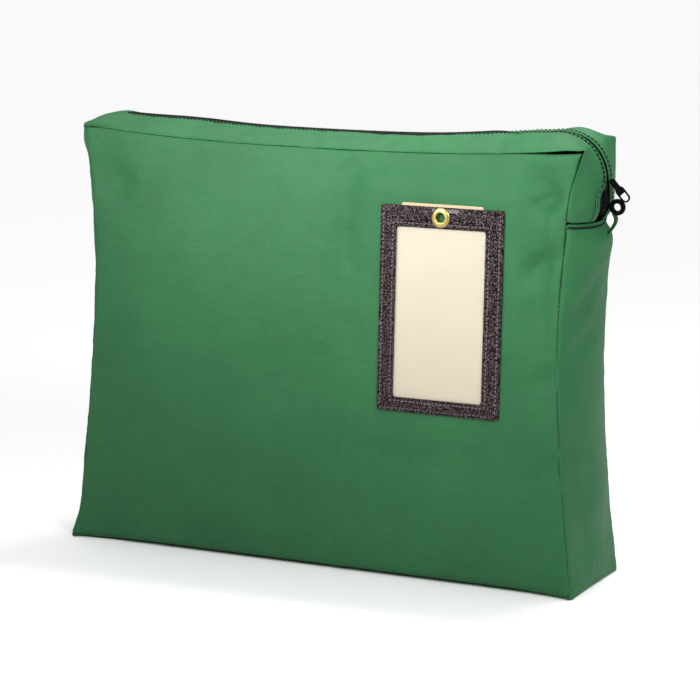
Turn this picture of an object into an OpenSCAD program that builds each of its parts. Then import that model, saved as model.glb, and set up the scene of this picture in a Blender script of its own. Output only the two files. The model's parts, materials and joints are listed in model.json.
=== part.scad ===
// Zipped cash deposit bag with a framed card holder, standing on its bottom gusset.
// +X runs to the right seen from the front, +Y to the back, +Z up.
// The origin is the middle of the flat bottom.

/* [Bag] */
// Width of the front panel, seam to seam
bag_w = 457; // [440:1:480]
// Depth of the bottom gusset
bag_d = 102; // [96:1:112]
// Height of the front panel, seam to seam
bag_h = 356; // [345:1:370]
// Thickness of the coated cloth and its seam allowance
cloth_t = 1.0; // [0.8:0.1:1.4]
// How far the upright seams pull in at mid height
side_pull = 15.3; // [8:0.1:20]
// How far the side gussets bulge past their seams at mid height
side_bulge = 22; // [12:1:26]
// How far the top gusset rises above its seams
top_rise = 11.3; // [8:0.1:14]
// How far the front panel crowns away from its seams
front_crown = 5; // [2:1:8]
// How far the back panel crowns away from its seams
back_crown = 8; // [2:1:12]

/* [Top taper] */
// How far the front top seam sits behind the bottom front edge
front_lean = 18; // [10:1:24]
// How far the back top seam sits in front of the bottom back edge
back_lean = 14; // [8:1:20]

/* [Zip] */
// Distance from the left end of the bag to the start of the zip
zip_start = 28.8; // [24:0.1:36]
// Outer radius of the rounded corner that the zip runs round
corner_r = 39; // [36:1:42]
// Height of the cross seam that ends the zip on the right side
cross_z = 296; // [285:1:302]
// Width of the open channel between the two cloth lips
lip_gap = 5; // [4.6:0.1:6]
// Half width of each zip tape, from the middle of the zip
tape_w = 14; // [12:0.5:16]
// Distance of each topstitch row from the middle of the zip
topstitch_y = 9; // [8:0.5:11]

/* [Card holder] */
// Outside width of the vinyl frame
frame_w = 107; // [104:1:110]
// Outside height of the vinyl frame
frame_h = 167; // [164:1:170]
// Middle of the frame, to the right of the middle of the bag
frame_x = 113.3; // [108:0.1:116]
// Height of the frame's lower edge
frame_z = 139.5; // [134:0.5:144]
// Width of the window
window_w = 77.5; // [74:0.5:80]
// Height of the window
window_h = 138; // [132:1:140]
// Width of the vinyl below the window
window_sill = 12; // [11:0.5:14]
// Width of the card
card_w = 79.4; // [76:0.2:82]
// Length of the card
card_h = 158.8; // [150:0.2:160]

/* [Hardware] */
// Radius of the brass grommet's hole
grommet_r = 3.55; // [3:0.05:4]
// Radius of the hole in the lock ring
ring_hole_r = 3; // [2.6:0.1:3.2]
// Outside radius of the lock ring
ring_r = 6.6; // [6:0.1:7]
// Thickness of the lock ring
ring_t = 3.6; // [3:0.2:4]
// Length of the pull, from its pivot to its tip
pull_l = 20; // [17:0.5:22]
// Width of the pull's wide end
pull_w = 7.6; // [7:0.2:8]
// Angle of the pull below the horizontal
pull_drop = 48; // [35:1:55]

/* [Hidden] */

half_w = bag_w / 2;
half_d = bag_d / 2;
// Side seams, front and back seams, each a function of height
function side_x(z) = half_w - side_pull * sin(180 * z / bag_h);
function side_rise(z) = 1 + (side_bulge - 1) * pow(max(sin(180 * z / bag_h), 0), 0.55);
function front_y(z) = -half_d + front_lean * pow(z / bag_h, 2) - 3 * sin(180 * z / bag_h);
function back_y(z) = half_d - back_lean * pow(z / bag_h, 2) + 9 * sin(180 * z / bag_h);

// Centre of the rounded corner, and where the lips stop
corner_x = side_x(bag_h * 0.92) + side_rise(bag_h * 0.92) - corner_r;
corner_z = bag_h + top_rise - corner_r;
lip_left = -half_w + zip_start;
lip_right = corner_x - 0.4;
front_top = -front_y(bag_h);
back_top = back_y(bag_h);

// Depths below the cloth's outer face in the zip channel
plate_top = 1.5;
plate_low = 2.5;
coil_top = 3.5;
coil_low = 5.3;
// Clearance of what lies against the faceted corner cloth
lay_gap = 0.12;
tape_t = 0.5;
under_top = coil_low + tape_t + 0.5;
under_low = under_top + 1;
slider_half = 10;
coil_wide = 2.9;
slit = 0.8;

// Card holder: depths out of the panel, and its leaning plane
lean = atan(front_lean / bag_h);
plane_y = -half_d - 10;
card_in = 0.4;
card_out = 0.8;
washer_in = 1.15;
pane_in = 1.75;
pane_out = 2.05;
vinyl_out = 3.2;
wall = 5;
grommet_z = frame_z + frame_h - 8.2;
grommet_outer = 8;

// One station of the gusset: seam point, middle point and outward direction
// (k is over 1 at a mitred corner)
function st(sx, sz, mx, mz, a, k = 1) = [sx, sz, mx, mz, k * cos(a), k * sin(a)];
function st_side(z, s) = st(s * side_x(z), z, s * (side_x(z) + side_rise(z)), z, s > 0 ? 0 : 180);
function st_corner(a) = let (
    up = bag_h - corner_z,
    z = a <= 45 ? corner_z + up * tan(a) : bag_h,
    x = a <= 45 ? side_x(z) : corner_x + (half_w - corner_x) * tan(90 - a)
) st(x, z, corner_x + corner_r * cos(a), corner_z + corner_r * sin(a), a);
function st_top(x) = st(x, bag_h, x, bag_h + top_rise, 90);

right_side = [for (i = [0:12]) st_side(cross_z - i * (cross_z - 12) / 12, 1)];
mitre = sqrt(2);
bottom = [st(half_w, 0, half_w + 1, 0, -45, mitre), st(-half_w, 0, -half_w - 1, 0, 225, mitre)];
left_side = [for (i = [0:13]) st_side(12 + i * (bag_h - 46) / 13, -1)];
left_corner = [for (a = [170, 155, 140, 125, 112, 100]) let (
    z = bag_h - 34 + 34 * min(1, tan(180 - a)),
    x = a > 135 ? -side_x(z) : -half_w + 26 * (1 + 1 / tan(a))
) st(x, z, -half_w + 20 + 27 * cos(a), bag_h + top_rise - 26 + 26 * sin(a), a)];
lower_run = concat(right_side, bottom, left_side, left_corner, [st_top(lip_left - 0.4)]);
corner_run = concat([for (i = [0:3]) let (z = cross_z + 0.4 + i * (corner_z - cross_z - 0.4) / 4)
    st(side_x(z), z, corner_x + corner_r, z, 0)],
    [for (a = [0:6:90]) st_corner(a)]);
lip_run = [st_top(lip_left), st_top(lip_right)];

// A point on the gusset: v is -1 at the front seam, 0 in the middle, 1 at the back seam
function on_gusset(s, v, depth) = let (r = 1 - v * v) [
    s[0] + (s[2] - s[0]) * r - s[4] * depth,
    v < 0 ? -v * front_y(s[1]) : v * back_y(s[1]),
    s[1] + (s[3] - s[1]) * r - s[5] * depth];

// A strip of the gusset between two values of v, from depth(v) to depth(v) + t
module strip(run, v0, v1, across, t, depth = function (v) 0) {
    n = len(run);
    m = across + 1;
    vs = [for (j = [0:across]) v0 + (v1 - v0) * j / across];
    top = [for (s = run) for (v = vs) on_gusset(s, v, depth(v))];
    low = [for (s = run) for (v = vs) on_gusset(s, v, depth(v) + t)];
    k = n * m;
    faces = concat(
        [for (i = [0:n - 2]) for (j = [0:m - 2]) each quad(i * m + j, i * m + j + 1, i * m + m + j + 1, i * m + m + j)],
        [for (i = [0:n - 2]) for (j = [0:m - 2]) each
            quad(k + i * m + m + j, k + i * m + m + j + 1, k + i * m + j + 1, k + i * m + j)],
        [for (i = [0:n - 2]) each quad(i * m + m, k + i * m + m, k + i * m, i * m)],
        [for (i = [0:n - 2]) each quad(i * m + m - 1, k + i * m + m - 1, k + i * m + 2 * m - 1, i * m + 2 * m - 1)],
        [for (j = [0:m - 2]) each quad(j, k + j, k + j + 1, j + 1)],
        [for (j = [0:m - 2]) each quad(k - m + j + 1, 2 * k - m + j + 1, 2 * k - m + j, k - m + j)]);
    polyhedron(concat(top, low), faces);
}
function quad(a, b, c, d) = [[a, b, c], [a, c, d]];

// How much of the crown is left at a point of the front panel: 0 under the card holder, 1 away from it
function ease(t) = t * t * (3 - 2 * t);
function holder_far(x, z) = let (
    dx = max(abs(x - frame_x) - frame_w / 2 - 12, 0) / 34,
    dz = max(abs(z - frame_z - frame_h / 2) - frame_h / 2 - 12, 0) / 34
) ease(min(1, sqrt(dx * dx + dz * dz)));
function crown(x, z) = pow(max(1 - pow(x / side_x(z), 2), 0), 0.8) * sqrt(max(sin(180 * z / bag_h), 0));
function front_surface(x, z) = let (w = holder_far(x, z))
    w * (front_y(z) - front_crown * crown(x, z)) + (1 - w) * (plane_y + z * tan(lean) + 0.05);
function back_surface(x, z) = back_y(z) + back_crown * crown(x, z);

// A cloth panel set between the gusset's walls, from a surface y(x, z) inwards by t
module panel(y, inwards, across, up) {
    m = across + 1;
    low_z = cloth_t + 0.3;
    high_z = bag_h - 1.4;
    function edge(z) = side_x(z) - cloth_t - 0.3;
    pts = [for (side = [0, 1]) for (i = [0:up]) for (j = [0:across]) let (
        z = low_z + (high_z - low_z) * i / up,
        x = edge(z) * (2 * j / across - 1)
    ) [x, y(x, z) + side * inwards * cloth_t, z]];
    k = m * (up + 1);
    flat_faces = concat(
        [for (i = [0:up - 1]) for (j = [0:across - 1]) each quad(i * m + j, i * m + m + j, i * m + m + j + 1, i * m + j + 1)],
        [for (i = [0:up - 1]) for (j = [0:across - 1]) each
            quad(k + i * m + j + 1, k + i * m + m + j + 1, k + i * m + m + j, k + i * m + j)],
        [for (i = [0:up - 1]) each quad(i * m, k + i * m, k + i * m + m, i * m + m)],
        [for (i = [0:up - 1]) each quad(i * m + 2 * m - 1, k + i * m + 2 * m - 1, k + i * m + m - 1, i * m + m - 1)],
        [for (j = [0:across - 1]) each quad(j + 1, k + j + 1, k + j, j)],
        [for (j = [0:across - 1]) each quad(k - m + j, 2 * k - m + j, 2 * k - m + j + 1, k - m + j + 1)]);
    polyhedron(pts, inwards > 0 ? flat_faces : [for (f = flat_faces) [f[2], f[1], f[0]]]);
}

// Tape depth: flat against the cloth at the topstitch row, dropped to the coil in the middle
function front_tape_depth(v) = tape_depth(-v * front_top);
function back_tape_depth(v) = tape_depth(v * back_top);
function tape_depth(y) = cloth_t + 0.05 + (coil_low - cloth_t - 0.05) * (1 - ease(max(0, min(1, (y - 5.4) / 3.4))));

// Extrudes a shape drawn in (radius, y) round the rounded corner, from angle a0 to a1
module round_corner(a0, a1) {
    translate([corner_x, 0, corner_z]) rotate([90, 0, 0]) rotate([0, 0, a0]) rotate_extrude(angle = a1 - a0, $fn = 96)
        children();
}
// Puts a flat shape, drawn with x right and y up, against the front panel's leaning plane
module on_front(out0, out1) {
    translate([0, plane_y, 0]) rotate([90 - lean, 0, 0]) translate([0, 0, out0]) linear_extrude(out1 - out0) children();
}
module frame_outline() {
    translate([frame_x - frame_w / 2, frame_z]) square([frame_w, frame_h]);
}
module window_outline() {
    translate([frame_x - window_w / 2, frame_z + window_sill]) square([window_w, window_h]);
}
module grommet_hole(r) {
    translate([frame_x - 0.5, grommet_z]) circle(r, $fn = 64);
}

module front_panel() {
    color("#3f8a55") panel(function (x, z) front_surface(x, z), 1, 38, 30);
}
module back_panel() {
    color("#3f8a55") panel(function (x, z) back_surface(x, z), -1, 18, 16);
}
module lower_gusset() {
    color("#357a4a") strip(lower_run, -1, 1, 14, cloth_t);
}
module front_seam_binding() {
    color("#2a5c38") strip(lower_run, -0.96, -0.8, 1, 1, function (v) cloth_t + 0.6);
}
module back_seam_binding() {
    color("#2a5c38") strip(lower_run, 0.8, 0.96, 1, 1, function (v) cloth_t + 0.6);
}
module front_lip() {
    color("#5fa878") strip(lip_run, -1 + 1.8 / front_top, -lip_gap / 2 / front_top, 8, cloth_t);
}
module back_lip() {
    color("#5fa878") strip(lip_run, lip_gap / 2 / back_top, 1 - 1.8 / back_top, 8, cloth_t);
}
module front_corner_strip() {
    color("#4c9464") strip(corner_run, -0.985, -lip_gap / 2 / front_top, 8, cloth_t);
}
module back_corner_strip() {
    color("#4c9464") strip(corner_run, lip_gap / 2 / back_top, 0.985, 8, cloth_t);
}
tape_run = [st_top(lip_left + 3.2), st_top(lip_right)];
module front_lip_tape() {
    color("#1c1c1e") strip(tape_run, -tape_w / front_top, -slit / front_top, 10, tape_t, function (v) front_tape_depth(v));
}
module back_lip_tape() {
    color("#1c1c1e") strip(tape_run, slit / back_top, tape_w / back_top, 10, tape_t, function (v) back_tape_depth(v));
}
module front_corner_tape() {
    color("#1c1c1e") strip(corner_run, -tape_w / front_top, -slit / front_top, 10, tape_t,
        function (v) front_tape_depth(v));
}
module back_corner_tape() {
    color("#1c1c1e") strip(corner_run, slit / back_top, tape_w / back_top, 10, tape_t,
        function (v) back_tape_depth(v));
}

// Half of the zip's coil along the lips: y0 to y1 across, lying on the tape
module lip_coil(y0, y1) {
    color("#101012") translate([lip_left + 3.2, y0, bag_h + top_rise - coil_low + 0.02])
        cube([lip_right - lip_left - 3.2, y1 - y0, coil_low - coil_top]);
}
module front_lip_coil() { lip_coil(-coil_wide, -0.15); }
module back_lip_coil() { lip_coil(0.15, coil_wide); }

// Half of the coil round the corner and down the side, held open for the slider's post
stop_z = cross_z + 12;
module corner_coil(y0, y1) {
    color("#101012") {
        round_corner(0, 90) translate([corner_r - coil_low + lay_gap, -y1]) square([coil_low - coil_top, y1 - y0]);
        translate([corner_x + corner_r - coil_low + lay_gap, y0, stop_z])
            cube([coil_low - coil_top, y1 - y0, corner_z - stop_z]);
    }
}
module front_corner_coil() { corner_coil(-coil_wide, -slit); }
module back_corner_coil() { corner_coil(slit, coil_wide); }

// Topstitch rows: a thread that lies on the cloth
thread_t = 0.4;
module stitch_row(run, v) {
    color("#151515") strip(run, v - 0.008, v + 0.008, 1, thread_t, function (u) -thread_t - lay_gap);
}
module front_lip_stitching() { stitch_row(lip_run, -topstitch_y / front_top); }
module back_lip_stitching() { stitch_row(lip_run, topstitch_y / back_top); }
module front_corner_stitching() { stitch_row(corner_run, -topstitch_y / front_top); }
module back_corner_stitching() { stitch_row(corner_run, topstitch_y / back_top); }

module top_stop() {
    color("#101012") translate([lip_left + 0.6, -2.2, bag_h + top_rise - coil_low]) cube([2, 4.4, 2.2]);
}
module bottom_stop() {
    color("#101012") translate([corner_x + corner_r - coil_low + lay_gap, -3.2, stop_z - 3.4]) cube([2.2, 6.4, 3]);
}

// Slider: two plates that follow the corner's curve, joined by a thin post
slider_a = asin(7.2 / corner_r);
module slider_body() {
    color("#121214") {
        round_corner(-slider_a, slider_a) translate([corner_r - plate_low, -4.4]) square([plate_low - plate_top, 8.8]);
        round_corner(-slider_a, slider_a) translate([corner_r - under_low, -4.4]) square([under_low - under_top, 8.8]);
        round_corner(slider_a - 7, slider_a) translate([corner_r - under_top - 0.3, -0.45])
            square([under_top + 0.3 - plate_low + 0.3, 0.9]);
    }
}
// Bridge: an arch across the slider that carries the pull on a round bar
bar_r = 1.0;
bar_out = 3.6;
bar_x = corner_x + corner_r + bar_out;
leg_y = 1.25;
module slider_bridge() {
    color("#121214") {
        translate([bar_x, leg_y + 0.9, corner_z]) rotate([90, 0, 0]) cylinder(h = 2 * leg_y + 1.8, r = bar_r, $fn = 32);
        for (s = [-1, 1])
            translate([corner_x + corner_r - plate_top + 0.02, s > 0 ? leg_y : -leg_y - 0.9, corner_z - 1.6])
                cube([bar_out + plate_top - 0.3, 0.9, 3.2]);
    }
}
// Pull: a flat plate on the bar, with a rounded window at its wide end
pull_t = 1.6;
eye_r = 2.4;
tip_r = pull_w / 2;
module pull_tab() {
    color("#121214") translate([bar_x, pull_t / 2, corner_z]) rotate([90, 0, 0]) rotate([0, 0, -pull_drop])
        difference() {
            linear_extrude(pull_t) union() {
                circle(eye_r, $fn = 48);
                translate([0, -eye_r]) square([pull_l - tip_r, 2 * eye_r]);
                translate([7, -tip_r]) square([pull_l - tip_r - 7, 2 * tip_r]);
                translate([pull_l - tip_r, 0]) circle(tip_r, $fn = 48);
            }
            translate([0, 0, -1]) cylinder(h = pull_t + 2, r = bar_r + 0.06, $fn = 48);
            translate([0, 0, -1]) linear_extrude(pull_t + 2) union() {
                translate([pull_l - tip_r, 0]) circle(tip_r - 1.3, $fn = 48);
                translate([pull_l - tip_r - 3.6, 1.3 - tip_r]) square([3.6, 2 * (tip_r - 1.3)]);
            }
        }
}

// Lock ring: lies across the zip's lower end, a hair behind the pull's path
ring_x = corner_x + corner_r + ring_r + lay_gap;
ring_z = cross_z + 12;
ring_y = pull_t / 2 + 0.7;
module lock_ring() {
    color("#121214") translate([ring_x, ring_y + ring_t, ring_z]) rotate([90, 0, 0]) rotate_extrude($fn = 64)
        polygon([[ring_hole_r, 0.4], [ring_hole_r + 0.4, 0], [ring_r - 0.9, 0], [ring_r, 0.9],
            [ring_r, ring_t - 0.9], [ring_r - 0.9, ring_t], [ring_hole_r + 0.4, ring_t], [ring_hole_r, ring_t - 0.4]]);
}
// Strap: a narrow doubled tape from the side of the bag up to the ring
strap_w = 4.5;
module ring_strap() {
    color("#2f6e42") translate([ring_x - 2.2, ring_y + ring_t / 2 + 1.1, 0]) rotate([90, 0, 0])
        linear_extrude(2.2) polygon([[-strap_w / 2, ring_z - ring_r - 0.4], [strap_w / 2, ring_z - ring_r - 0.4],
            [strap_w / 2 + 0.6, ring_z - ring_r - 6], [strap_w / 2 - 0.6, cross_z - 9], [-2.9, cross_z - 9],
            [-2.2, cross_z - 6.5], [-0.6, cross_z - 3.5], [-strap_w / 2 + 0.6, ring_z - ring_r - 6]]);
}

module label_frame() {
    color("#2b2528") {
        on_front(pane_out + 0.05, vinyl_out) difference() {
            frame_outline();
            window_outline();
            grommet_hole(grommet_r + 0.8);
        }
        on_front(0.05, pane_out + 0.05) difference() {
            frame_outline();
            translate([frame_x - frame_w / 2 + wall, frame_z + window_sill - 1.5])
                square([frame_w - 2 * wall, frame_h]);
        }
    }
}
module frame_stitching() {
    color("#3a3436") {
        on_front(vinyl_out + 0.02, vinyl_out + 0.32) difference() {
            offset(delta = -2.6) frame_outline();
            offset(delta = -3.2) frame_outline();
            translate([frame_x - frame_w, frame_z + frame_h - 6]) square([2 * frame_w, 10]);
        }
        on_front(vinyl_out + 0.02, vinyl_out + 0.32) difference() {
            offset(delta = 3.2) window_outline();
            offset(delta = 2.6) window_outline();
            grommet_hole(grommet_outer + 0.4);
        }
    }
}
module window_pane() {
    color("#dfe6e2", 0.35) on_front(pane_in, pane_out) difference() {
        translate([frame_x - frame_w / 2 + wall + 0.2, frame_z + window_sill - 1.3])
            square([frame_w - 2 * wall - 0.4, frame_h - window_sill]);
        grommet_hole(grommet_r + 0.8);
    }
}
// Grommet: a flanged tube through the vinyl, rolled over a washer behind it
module grommet() {
    color("#b9924a") {
        on_front(vinyl_out + 0.02, vinyl_out + 0.8) difference() {
            grommet_hole(grommet_outer);
            grommet_hole(grommet_r);
        }
        on_front(washer_in, vinyl_out + 0.02) difference() {
            grommet_hole(grommet_r + 0.75);
            grommet_hole(grommet_r);
        }
    }
}
module grommet_washer() {
    color("#b9924a") on_front(washer_in, pane_in - 0.05) difference() {
        grommet_hole(7.2);
        grommet_hole(grommet_r + 0.8);
    }
}
// Card: a shipping tag with two clipped corners and a hole behind the grommet
clip = 12;
card_z = frame_z + window_sill - 1.5;
module address_card() {
    color("#f1e2c0") on_front(card_in, card_out) difference() {
        translate([frame_x - card_w / 2, card_z]) polygon([[0, 0], [card_w, 0], [card_w, card_h - clip],
            [card_w - clip / 2.4, card_h], [clip / 2.4, card_h], [0, card_h - clip]]);
        grommet_hole(grommet_r + 0.7);
    }
}

front_panel();
back_panel();
lower_gusset();
front_seam_binding();
back_seam_binding();
front_lip();
back_lip();
front_corner_strip();
back_corner_strip();
front_lip_tape();
back_lip_tape();
front_corner_tape();
back_corner_tape();
front_lip_coil();
back_lip_coil();
front_corner_coil();
back_corner_coil();
front_lip_stitching();
back_lip_stitching();
front_corner_stitching();
back_corner_stitching();
top_stop();
bottom_stop();
slider_body();
slider_bridge();
pull_tab();
lock_ring();
ring_strap();
label_frame();
frame_stitching();
window_pane();
grommet();
grommet_washer();
address_card();
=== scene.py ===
"""Looks of a zipped cash deposit bag: cloth, zip, lock hardware and card holder.

Lengths in this script are millimetres until a mesh is made, and +Z is up.
"""
import json
import math

import bpy
import numpy as np
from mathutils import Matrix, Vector


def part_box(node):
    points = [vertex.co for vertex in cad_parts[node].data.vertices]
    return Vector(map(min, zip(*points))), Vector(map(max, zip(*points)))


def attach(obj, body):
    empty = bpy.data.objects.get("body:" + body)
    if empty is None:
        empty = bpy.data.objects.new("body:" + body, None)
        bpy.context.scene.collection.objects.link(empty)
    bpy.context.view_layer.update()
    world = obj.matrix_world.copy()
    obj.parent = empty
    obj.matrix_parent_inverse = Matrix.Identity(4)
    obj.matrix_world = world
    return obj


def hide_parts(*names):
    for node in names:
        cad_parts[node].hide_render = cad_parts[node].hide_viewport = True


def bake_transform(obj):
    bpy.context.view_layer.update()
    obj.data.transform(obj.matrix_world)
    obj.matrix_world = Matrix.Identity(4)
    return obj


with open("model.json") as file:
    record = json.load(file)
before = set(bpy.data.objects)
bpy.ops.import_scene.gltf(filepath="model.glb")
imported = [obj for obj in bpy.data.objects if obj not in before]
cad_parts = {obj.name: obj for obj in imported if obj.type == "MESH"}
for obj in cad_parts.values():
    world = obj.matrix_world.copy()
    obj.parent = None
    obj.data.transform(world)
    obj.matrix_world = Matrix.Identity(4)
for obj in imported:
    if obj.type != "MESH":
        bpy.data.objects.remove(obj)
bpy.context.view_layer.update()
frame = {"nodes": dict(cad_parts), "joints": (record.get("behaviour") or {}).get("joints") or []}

MM = 0.001


def in_mm(place):
    """Lengths in metres as millimetres."""
    return [v / MM for v in place]


def middle_and_size(node):
    """The middle and the size of a CAD node's box."""
    low, high = (np.array(in_mm(corner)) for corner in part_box(node))
    return (low + high) / 2, high - low


# ---------------------------------------------------------------- sizes
joints = {j["name"]: j for j in frame["joints"]}
corner_x, _, corner_z = in_mm(joints["slider_travel"]["pos_m"])
pivot_x, _, pivot_z = in_mm(joints["pull_swing"]["pos_m"])
panel_high = in_mm(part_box("front_panel")[1])
zip_out = in_mm(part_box("front_corner_strip")[1])[0]
cross_z = in_mm(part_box("front_corner_strip")[0])[2]
lip_left = in_mm(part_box("front_lip")[0])[0]
lip_right = corner_x
# The CAD panels stop this far inside the seam lines.
seam_inset_x, seam_inset_z = 1.5, 1.4
half_w = panel_high[0] + seam_inset_x
bag_h = panel_high[2] + seam_inset_z
half_d = 51
corner_r = zip_out - corner_x
zip_rise = corner_z + corner_r
# How far the upright seams pull in, the side gussets bulge out, and the faces lean from bottom to top.
side_pull = 15.3
side_bulge = 12
front_lean = 18
back_lean = 14
slope = math.atan(front_lean / bag_h)
# Heights in the middle of the top seams and of the zip, and the zip's rise to its left end.
top_low = 347.5
zip_low = 358.0
left_rise = 5.8
zip_low_x, zip_span = -5, 201
back_corner = bag_h + 4.3
# The zip's left end turns down over a quarter oval.
left_inset, left_out, left_drop = 20, 27, 26
# Thicknesses of the sheets, and the spacing of teeth and stitches.
cloth_t, strip_t, tape_t, binding_t, strap_t = 0.7, 0.5, 0.5, 0.9, 1.7
tooth_pitch, topstitch_pitch, cross_pitch, seam_pitch = 2.1, 3.6, 3.0, 3.4
# Distances from the zip's middle line to the lips and to the topstitching, and depths under the cloth.
lip_gap = 3.0
topstitch_y = 6.8
coil_depth = 3.6
tape_depth = 5.1
holder_low, holder_high = (in_mm(corner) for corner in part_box("label_frame"))
holder_w = holder_high[0] - holder_low[0]
holder_x = (holder_low[0] + holder_high[0]) / 2
holder_h = 167
holder_z = 139.5
window_w, window_h, window_sill = 77.5, 138, 12
plane_y = -half_d - 10


def smooth(t):
    """0 to 1 with soft ends."""
    t = np.clip(t, 0, 1)
    return t * t * (3 - 2 * t)


def hill(x, centre, reach):
    """A soft bump: 1 at its centre, fading over its reach."""
    return np.exp(-((x - centre) / reach) ** 2)


def arch(z):
    """0 at the bag's bottom and top, 1 half way up."""
    return np.sin(np.pi * np.clip(z / bag_h, 0, 1))


def side_x(z):
    """Half the panel's width at a height: the upright seams pull in."""
    return half_w - side_pull * arch(z)


def front_x(u, z):
    """The front panel's width places, u from -1 to 1.

    Its seams pull in most above the middle, and more on the left.
    """
    drawn = np.sin(np.pi * np.clip(z / bag_h, 0, 1) ** 1.4) ** 0.8
    tuck = 3.2 * hill(z, 318, 22) * np.clip(u, 0, 1) ** 2
    spread = 4.5 * hill(z, 0, 16) * np.clip(-u, 0, 1) ** 2
    return u * (half_w - (17.1 - 2.4 * u) * drawn) - tuck - spread


def pinch(z):
    """The stiff cross seam draws the side in just below the zip's end."""
    return hill(z, cross_z - 1, 8)


def back_x(u, z):
    """The back panel's width places: wider at its foot, pinched at the cross seam."""
    foot = 2.4 * hill(z, 0, 40)
    return u * (side_x(z) + foot) - 8.0 * pinch(z) * np.clip(u, 0, 1) ** 8


def side_rise(z):
    """How far the side gusset bulges past its seams."""
    return 1 + (side_bulge - 1) * arch(z) ** 0.55


def front_y(z):
    """The front face leans back towards its top and is a little full."""
    return -half_d + front_lean * (z / bag_h) ** 2 - 3 * arch(z)


def back_y(z):
    """The back face leans forward towards its top and is fuller than the front."""
    return half_d - back_lean * (z / bag_h) ** 2 + 9 * arch(z)


def seam_z(x, corner=bag_h):
    """Height of the top seams, which sag between the corners."""
    return top_low + (corner - top_low) * np.abs(x / half_w) ** 2.6


def zip_z(x):
    """Height of the zip along the top, lowest near the middle, with a small hump on each side."""
    rise = np.where(x > zip_low_x, zip_rise - zip_low, left_rise)
    humps = 1.6 * hill(x, 150, 40) * smooth((corner_x - x) / 25) + 2.0 * hill(x, -135, 45)
    return zip_low + rise * np.abs((x - zip_low_x) / zip_span) ** 2.4 + humps


def holder_far(x, z):
    """0 under the card holder, 1 away from it."""
    margin, fade = 8, 30
    dx = np.maximum(np.abs(x - holder_x) - holder_w / 2 - margin, 0) / fade
    dz = np.maximum(np.abs(z - holder_z - holder_h / 2) - holder_h / 2 - margin, 0) / fade
    return smooth(np.minimum(1, np.hypot(dx, dz)))


def crown(x, z):
    """How full a panel is: 1 in its middle, 0 at its edges."""
    return np.clip(1 - (x / side_x(z)) ** 2, 0, 1) ** 0.8 * np.sqrt(arch(z))


# ---------------------------------------------------------------- the bag's cut pattern
# Steps across a panel, up a panel and across the gusset; the loop runs round a panel's edge.
NX, NZ, NV = 76, 60, 18
LOOP = 2 * (NX + NZ)
ZIP_K = NV // 2
s_tent = NZ + 5
left_x = -half_w + left_inset
left_z = float(zip_z(left_x)) - left_drop


def panel_places():
    """Places on a panel: u from -1 to 1 across it, and t from 0 to 1 up it."""
    return np.meshgrid(np.linspace(-1, 1, NX + 1), np.linspace(0, 1, NZ + 1))


def front_pattern():
    """The front: flat under the card holder, lifted along its bottom seam, spread at its lower corners."""
    u, t = panel_places()
    z = t * seam_z(u * half_w)
    x = front_x(u, z)
    z = z + 2.0 * (1 - t) ** 9 * (1 - np.abs(u) ** 8)
    free = holder_far(x, z)
    flat_y = plane_y + z * math.tan(slope) + 0.2
    y = free * (front_y(z) - 4 * crown(x, z)) + (1 - free) * flat_y
    foot = hill(z, 0, 20) * np.abs(u) ** 10
    x = x + 2.5 * foot * (u > 0)
    y = y - 6 * foot
    return np.stack([x, y, z], axis=2)


def back_pattern():
    """The back, with its top corners standing a little higher."""
    u, t = panel_places()
    z = t * seam_z(u * half_w, back_corner)
    x = back_x(u, z)
    return np.stack([x, back_y(z) + 6 * crown(x, z), z], axis=2)


def edge_loop(grid):
    """A panel's edge points: up the right side, left along the top, down the left, right along the bottom."""
    return np.concatenate([grid[:, -1], grid[-1, -2::-1], grid[-2::-1, 0], grid[0, 1:-1]])


def round_corner(a):
    """A place on the zip's right corner, at an angle above level."""
    return corner_x + corner_r * math.cos(a), corner_z + corner_r * math.sin(a)


def left_corner(a):
    """A place on the oval where the zip's left end turns down."""
    return left_x + left_out * math.cos(a), left_z + left_drop * math.sin(a)


def middle_of(x, z, s):
    """Where the gusset's middle line lies for the seam point number s of the edge loop."""
    if s <= NZ:
        if z > corner_z:
            return round_corner(math.atan((z - corner_z) / (bag_h - corner_z)))
        near = smooth((z - cross_z + 70) / 70)
        sag = 2.5 * hill(z, cross_z + 3, 20)
        return near * zip_out + (1 - near) * (side_x(z) + side_rise(z)) - 7 * pinch(z), z - sag
    if s <= NZ + NX:
        if x > corner_x:
            return round_corner(math.pi / 2 - math.atan((x - corner_x) / (half_w - corner_x)))
        if x > left_x:
            return x, float(zip_z(x))
        return left_corner(math.pi / 2 + math.atan((left_x - x) / left_inset))
    if s <= NX + 2 * NZ:
        if z > left_z:
            return left_corner(math.pi - math.atan((z - left_z) / (bag_h - left_z)))
        return -(side_x(z) + side_rise(z)), z
    return x, z


def gusset_pattern(front_edge, back_edge):
    """The strip between the two edge loops, LOOP by NV + 1 points."""
    v = np.linspace(-1, 1, NV + 1)
    swell = np.clip(4 * v * (1 - v), 0, 1) * smooth((v - 0.2) / 0.25)
    grid = np.zeros((LOOP, NV + 1, 3))
    for s in range(LOOP):
        xf, yf, zf = front_edge[s]
        xb, yb, zb = back_edge[s]
        mx, mz = middle_of(xf, zf, s)
        tent = smooth((s - s_tent) / 8) * (s < NZ + NX + 2)
        left = hill(mx, -half_w, 24) * float(smooth((mz - bag_h + 26) / 22))
        r = 1 - np.abs(v) ** (2 - 0.8 * tent * (1 - left) + 1.6 * left)
        x = np.where(v < 0, xf, xb)
        z = np.where(v < 0, zf, zb)
        full = 4.5 * swell * hill(mx, corner_x + 16, 20) * (mz > corner_z)
        grid[s, :, 0] = x + (mx - x) * r
        grid[s, :, 1] = np.where(v < 0, -v * yf, v * yb)
        grid[s, :, 2] = z + (mz - z) * r + full
    return grid


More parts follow.
